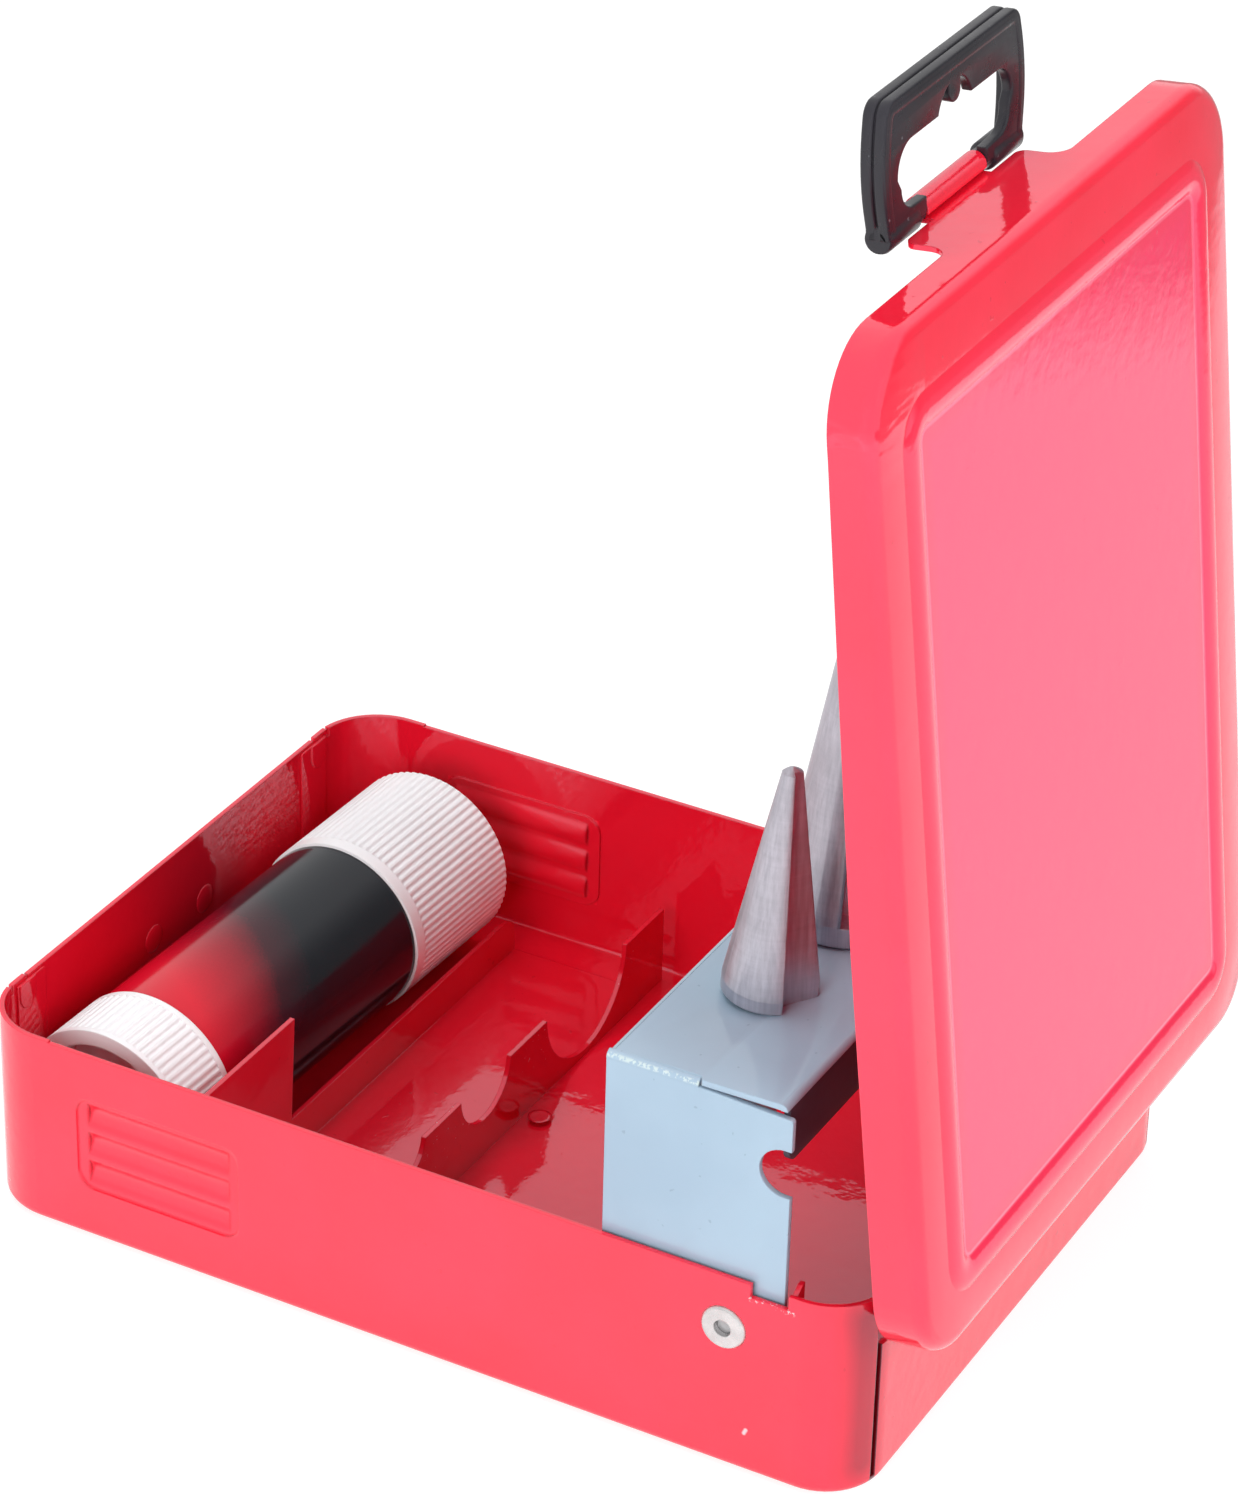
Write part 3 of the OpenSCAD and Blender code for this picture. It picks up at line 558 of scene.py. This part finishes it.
def lathe(bm, profile, place, steps=40):
    """Adds a form turned about the local z axis from a profile of (radius, height) pairs in mm."""
    rings = []
    for radius, height in profile:
        turns = [2 * math.pi * k / steps for k in range(steps)]
        rings.append([bm.verts.new(place @ Vector((radius * math.cos(a) * MM, radius * math.sin(a) * MM,
                                                   height * MM))) for a in turns])
    for low, high in zip(rings, rings[1:]):
        for k in range(steps):
            n = (k + 1) % steps
            bm.faces.new((low[k], low[n], high[n], high[k]))
    bm.faces.new(rings[-1])
    bm.faces.new(list(reversed(rings[0])))


def finish_piece(name, bm, body, material, smooth_angle=35.0):
    """Turns a bmesh into a shaded piece that rides on a body."""
    bmesh.ops.remove_doubles(bm, verts=bm.verts, dist=1e-6)
    bmesh.ops.recalc_face_normals(bm, faces=bm.faces)
    mesh = bpy.data.meshes.new(name)
    bm.to_mesh(mesh)
    bm.free()
    mesh.shade_smooth()
    mesh.set_sharp_from_angle(angle=math.radians(smooth_angle))
    mesh.materials.append(material)
    piece = bpy.data.objects.new(name, mesh)
    bpy.context.scene.collection.objects.link(piece)
    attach(piece, body)
    return piece


# ---------------------------------------------------------------- rack

RACK_HALF, RACK_TOP, RACK_SHEET, RACK_BEND = 53.8, 63.2, 1.0, 1.06
RACK_FRONT, RACK_REAR, RACK_LOW, SLIT_FROM = 32.7, 61.2, 14.1, 47.4
PIVOT_Y, PIVOT_Z, LOBE_R = 53.5, 24.3, 8.7
PIVOT_HOLE_R = 2.06
HOLES_Y, HOLES = 45.4, ((28.8, 3.25), (5.3, 4.25), (-26.2, 4.75))
NOTCH_Y, NOTCH_Z, NOTCH_R = 61.2, 52.4, 3.9
FLANGE_LOW, FLANGE_CORNER = 53.1, 2.0
PLATE_SPRUNG = math.radians(0.9)


def rack_piece():
    """The rack as the photo shows it: an open channel with short flanges, a split bend and two cheeks."""
    bm = bmesh.new()
    middle = RACK_SHEET / 2
    bend_x, bend_z = RACK_HALF - RACK_BEND, RACK_TOP - RACK_BEND
    free_x = RACK_HALF - RACK_SHEET - 0.05
    over_x = RACK_HALF - 0.2
    front, rear = RACK_FRONT + RACK_BEND, RACK_REAR - RACK_BEND
    plate = [(-free_x, front), (free_x, front), (bend_x, front), (bend_x, SLIT_FROM),
             (over_x, SLIT_FROM + 0.4), (over_x, rear), (-over_x, rear), (-over_x, SLIT_FROM + 0.4),
             (-bend_x, SLIT_FROM), (-bend_x, front)]
    # The plate has sprung up a little about its front edge, since the slits free it from the cheeks.
    hinge_line = Matrix.Translation(Vector((0, RACK_FRONT, RACK_TOP)) * MM)
    sprung = hinge_line @ Matrix.Rotation(PLATE_SPRUNG, 4, "X") @ hinge_line.inverted()
    holes = [arc(x, HOLES_Y, r, 0, 350, 35) for x, r in HOLES]
    flat_sheet(bm, [plate] + holes, RACK_SHEET,
               sprung @ axes((1, 0, 0), (0, 1, 0), (0, 0, RACK_TOP - middle)), 0.06)

    notch = arc(NOTCH_Y, NOTCH_Z, NOTCH_R, -90, -270, 16)
    lobe = arc(PIVOT_Y, PIVOT_Z, LOBE_R, -90, 0, 14)
    back, fore = PIVOT_Y + LOBE_R, RACK_FRONT + 0.2
    cheek = ([(fore, RACK_LOW), (PIVOT_Y, RACK_LOW)] + lobe + [(back, NOTCH_Z - NOTCH_R)] + notch
             + [(back, NOTCH_Z + NOTCH_R)] + arc(back - 0.5, 61.1, 0.5, 0, 90, 4)
             + [(SLIT_FROM + 1.5, bend_z), (fore, bend_z)])
    pivot = arc(PIVOT_Y, PIVOT_Z, PIVOT_HOLE_R, 0, 340, 17)
    for s in (-1, 1):
        flat_sheet(bm, [cheek, pivot], RACK_SHEET,
                   axes((0, 1, 0), (0, 0, 1), (s * (RACK_HALF - middle), 0, 0)), 0.1)
        start = SLIT_FROM if s > 0 else fore
        bend_strip(bm, RACK_BEND, RACK_SHEET, SLIT_FROM - fore,
                   axes((s, 0, 0), (0, 0, 1), (s * bend_x, start, bend_z)))

    # The rear flange is built as a piece of its own, so that it takes the painted-shade copy of the grey
    # enamel.
    painted_shade_flange = bmesh.new()
    corner_x, corner_z = free_x - FLANGE_CORNER, FLANGE_LOW + FLANGE_CORNER
    flange = ([(free_x, bend_z), (-free_x, bend_z)] + arc(-corner_x, corner_z, FLANGE_CORNER, 180, 270, 6)
              + arc(corner_x, corner_z, FLANGE_CORNER, 270, 360, 6))
    for y, turn, sheet, lift, ends in ((RACK_REAR - middle, 1, painted_shade_flange, sprung, over_x),
                                       (RACK_FRONT + middle, -1, bm, Matrix.Identity(4), free_x)):
        flat_sheet(sheet, [flange], RACK_SHEET, lift @ axes((1, 0, 0), (0, 0, 1), (0, y, 0)), 0.1)
        corner = (-turn * ends, y - turn * (RACK_BEND - middle), bend_z)
        bend_strip(bm, RACK_BEND, RACK_SHEET, 2 * ends, lift @ axes((0, turn, 0), (0, 0, 1), corner))
    finish_piece("rack_rear_flange", painted_shade_flange, "rack", GREY_PAINTED_SHADE)
    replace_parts(finish_piece("rack_channel", bm, "rack", GREY), "rack_bracket")


rack_piece()


# ---------------------------------------------------------------- latch

LATCH_AXIS, LATCH_TURN = (1.8, 53.109, 179.123), math.radians(94.8)
LATCH_HALF, LATCH_REACH, LATCH_CORNER = 20.6, 18.9, 2.6
BULGE, BULGE_V, BULGE_HALF = 1.0, 9.05, 7.5
NECK_FROM, NIB_V, NIB_R = 9.15, 13.9, 1.7
HALF_THICK, PARTING, RIM_EDGE = 1.70, 0.95, 0.34


def latch_outline(inset):
    """The latch's sides and top, from its right foot round to its left foot, with bulging sides."""
    half, top, r = LATCH_HALF - inset, LATCH_REACH - inset, max(LATCH_CORNER - inset, 0.5)
    right = []
    for k in range(13):
        v = (top - r) * k / 12
        right.append((half + max(0.0, BULGE - ((v - BULGE_V) / BULGE_HALF) ** 2), v))
    right += arc(half - r, top - r, r, 10, 90, 7)
    return right + [(-u, v) for u, v in reversed(right)]


def latch_piece():
    """The latch's ring: a nearly flush web with its window and nib, a parted rim and two barrels."""
    place = Matrix.Translation(Vector(LATCH_AXIS) * MM) @ Matrix.Rotation(LATCH_TURN, 4, "X")
    # Half of the window, from the barrel round its end and the notch for a hook to the nib.
    half = ([(NECK_FROM, 0.0), (NECK_FROM, 2.3)] + arc(13, 5.9, 3.4, -90, 0, 8)
            + arc(13, 7.5, 4.4, 0, 90, 10) + arc(0, 10.1, 5.4, 19.5, 71.5, 9)
            + arc(0, NIB_V, NIB_R, 0, -80, 8))
    window = [(-u, v) for u, v in half] + list(reversed(half))
    bm = bmesh.new()

    def sheet(loop, thick, w, edge):
        flat_sheet(bm, [loop], thick, place @ Matrix.Translation((0, 0, w * MM)), edge)

    for w in (-PARTING, PARTING):
        sheet(latch_outline(0.0) + list(reversed(latch_outline(2.0))), HALF_THICK, w, RIM_EDGE)
    sheet(latch_outline(0.4) + list(reversed(latch_outline(1.8))), 0.5, 0.0, 0.05)
    sheet(latch_outline(0.8) + window, HALF_THICK, -0.90, 0.28)
    barrel = [(0.90, 0.0), (0.90, NECK_FROM), (1.62, NECK_FROM + 0.1), (1.62, 11.3), (1.95, 11.45),
              (2.1, 11.7), (2.1, 20.0), (1.9, 20.5), (1.2, LATCH_HALF)]
    for s in (-1, 1):
        lathe(bm, barrel, place @ axes((0, s, 0), (0, 0, 1), (0, 0, 0)), 32)
    nib = [(1.2, -1.55), (1.55, -1.45), (1.68, -1.1), (1.68, 1.1), (1.55, 1.45), (1.2, 1.55)]
    lathe(bm, nib, place @ axes((1, 0, 0), (0, 1, 0), (0, NIB_V, 0)), 28)
    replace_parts(finish_piece("latch_ring", bm, "latch", BLACK), "latch_handle")


latch_piece()


# ---------------------------------------------------------------- small forms pressed into the tray

FRONT_INSIDE, LAP_TOP = -74.2, 32.6
TONGUE_X, TONGUE_Z, TONGUE_HALF, TONGUE_DROP = 41.9, 30.4, 2.1, 2.6


def front_details():
    """On the front wall's inside laps, U-shaped tongues and two round dimples; a weld mark on the floor."""
    bm = bmesh.new()
    turns = [math.pi * (1 - k / 10) for k in range(11)]
    for s in (-1, 1):
        lap = [(s * 37.2, 2.0), (s * 36.9, 32.2), (s * 37.4, LAP_TOP), (s * 44.3, LAP_TOP), (s * 44.3, 2.0)]
        flat_sheet(bm, [lap], 0.36, axes((1, 0, 0), (0, 0, 1), (0, FRONT_INSIDE + 0.17, 0)), 0.1)
        round_end = [(s * (TONGUE_X - TONGUE_HALF * math.cos(a)), TONGUE_Z - TONGUE_DROP * math.sin(a))
                     for a in turns]
        tongue = [(s * 44.0, LAP_TOP)] + round_end + [(s * 39.8, LAP_TOP)]
        flat_sheet(bm, [tongue], 0.3, axes((1, 0, 0), (0, 0, 1), (0, FRONT_INSIDE + 0.45, 0)), 0.12)
    finish_piece("front_wall_laps", bm, "tray", RED)

    bm = bmesh.new()
    dimple = [(2.5, -0.03), (2.35, 0.06), (2.0, 0.17), (1.5, 0.26), (0.8, 0.31), (0.2, 0.32)]
    for x, z in ((-7.9, 20.4), (6.9, 20.8)):
        lathe(bm, dimple, axes((1, 0, 0), (0, 0, -1), (x, FRONT_INSIDE, z)))
    finish_piece("front_wall_dimples", bm, "tray", RED, 60.0)

    bm = bmesh.new()
    lathe(bm, [(1.9, -0.05), (1.8, 0.01), (1.4, 0.035), (0.9, 0.005), (0.2, 0.02)],
          axes((1, 0, 0), (0, 1, 0), (-5.8, -10.7, 1.6)))
    finish_piece("cradle_weld_mark", bm, "tray", RED_CRADLE, 60.0)


front_details()


def eyelet_floors():
    """Closed inner ends of the two tubular rivets that the rack turns on."""
    for name, s in (("near_eyelet_end", 1), ("far_eyelet_end", -1)):
        bm = bmesh.new()
        lathe(bm, [(1.34, 0.0), (1.34, 0.32), (1.15, 0.40), (0.7, 0.28), (0.15, 0.25)],
              axes((0, s, 0), (0, 0, 1), (s * 54.3, PIVOT_Y, PIVOT_Z)), 28)
        finish_piece(name, bm, "tray", PIN, 50.0)


eyelet_floors()


# ---------------------------------------------------------------- stage

WHITE_LIGHT = (1, 1, 1, 1)


def studio_rays(tree):
    """1 for the rays that see the studio as white, and 1 for the glossy ones among them alone."""
    path = tree.nodes.new("ShaderNodeLightPath")
    glossy = path.outputs["Is Glossy Ray"]
    seen = larger(tree, path.outputs["Is Camera Ray"], glossy)
    return larger(tree, seen, path.outputs["Is Transmission Ray"]), glossy


def mix_shader(tree, factor, first, second, out):
    """Mixes two shaders' outputs and leads the result to an output node."""
    mixed = tree.nodes.new("ShaderNodeMixShader")
    for source, socket in zip((factor, first, second), mixed.inputs):
        link(tree, source, socket)
    link(tree, mixed.outputs[0], out.inputs[0])


def floor_material():
    """White floor: it takes the case's shadow, and shows as white to the camera and in most reflections."""
    mat, tree, out = new_material("floor_white")
    seen, glossy = studio_rays(tree)
    glow = node(tree, "ShaderNodeEmission", in_Color=WHITE_LIGHT)
    x, y, _ = split(tree)
    behind = plus(tree, times(tree, x, -0.86), times(tree, y, 0.5))
    faded = times(tree, remap(tree, behind, 0.45, 0.52, 0.0, 0.74), glossy)
    away = node(tree, "ShaderNodeVectorMath", operation="LENGTH")
    link(tree, object_coords(tree), away.inputs[0])
    level = remap(tree, away.outputs["Value"], 0.4, 1.6, 0.82, 1.0)
    link(tree, times(tree, minus(tree, level, faded), seen), glow.inputs["Strength"])
    matte = node(tree, "ShaderNodeBsdfDiffuse", in_Color=(0.3, 0.3, 0.3, 1))
    pale = node(tree, "ShaderNodeBsdfDiffuse", in_Color=(0.82, 0.82, 0.84, 1))
    shown = tree.nodes.new("ShaderNodeAddShader")
    link(tree, glow.outputs[0], shown.inputs[0])
    link(tree, matte.outputs[0], shown.inputs[1])
    mix_shader(tree, seen, pale.outputs[0], shown.outputs[0], out)
    return mat


def studio_world():
    """White surroundings that light the case softly, and end dark far behind it in reflections."""
    world = bpy.data.worlds.new("studio")
    world.use_nodes = True
    tree = world.node_tree
    tree.nodes.clear()
    out = tree.nodes.new("ShaderNodeOutputWorld")
    seen, glossy = studio_rays(tree)
    soft = node(tree, "ShaderNodeBackground", in_Color=WHITE_LIGHT, in_Strength=0.38)
    white = node(tree, "ShaderNodeBackground", in_Color=WHITE_LIGHT)
    behind = node(tree, "ShaderNodeVectorMath", operation="DOT_PRODUCT")
    behind.inputs[1].default_value = (-0.85, 0.50, 0.14)
    link(tree, tree.nodes.new("ShaderNodeTexCoord").outputs["Generated"], behind.inputs[0])
    dimmed = times(tree, remap(tree, behind.outputs["Value"], 0.80, 0.94, 0.0, 0.7), glossy)
    link(tree, minus(tree, 1.0, dimmed), white.inputs["Strength"])
    mix_shader(tree, seen, soft.outputs[0], white.outputs[0], out)
    return world


bpy.ops.mesh.primitive_plane_add(size=12.0, location=(0, 0, -0.0004))
floor = bpy.context.object
floor.name = "floor"
floor.data.materials.append(floor_material())
bpy.context.scene.world = studio_world()


def softbox(name, place, aim, size, power):
    """Square area lamp at place, facing aim."""
    lamp = bpy.data.lights.new(name, "AREA")
    lamp.shape = "SQUARE"
    lamp.size = size
    lamp.energy = power
    ob = bpy.data.objects.new(name, lamp)
    ob.location = place
    ob.rotation_euler = (Vector(aim) - Vector(place)).to_track_quat("-Z", "Y").to_euler()
    ob.visible_glossy = False
    bpy.context.scene.collection.objects.link(ob)


CENTRE = (0.0, 0.0, 0.06)
softbox("key", (1.10, 0.02, 0.42), CENTRE, 0.7, 8.6)
softbox("rear", (0.25, 1.05, 0.72), CENTRE, 0.7, 9.0)
softbox("top", (-0.1, -0.3, 1.1), CENTRE, 0.8, 5.6)

# Camera solved from the tray's straight edges in the photo.
CAMERA_PLACE = (0.57516, 0.31269, 0.45946)
CAMERA_TURN = (59.5503, -1.2917, 118.9153)
CAMERA_LENS = 122.774

cam = bpy.data.cameras.new("camera")
cam.lens = CAMERA_LENS
cam.sensor_width = 36.0
cam.clip_start = 0.01
cam_ob = bpy.data.objects.new("camera", cam)
cam_ob.location = CAMERA_PLACE
cam_ob.rotation_euler = Euler([math.radians(a) for a in CAMERA_TURN])
bpy.context.scene.collection.objects.link(cam_ob)
bpy.context.scene.camera = cam_ob
bpy.context.scene.view_settings.view_transform = "Standard"
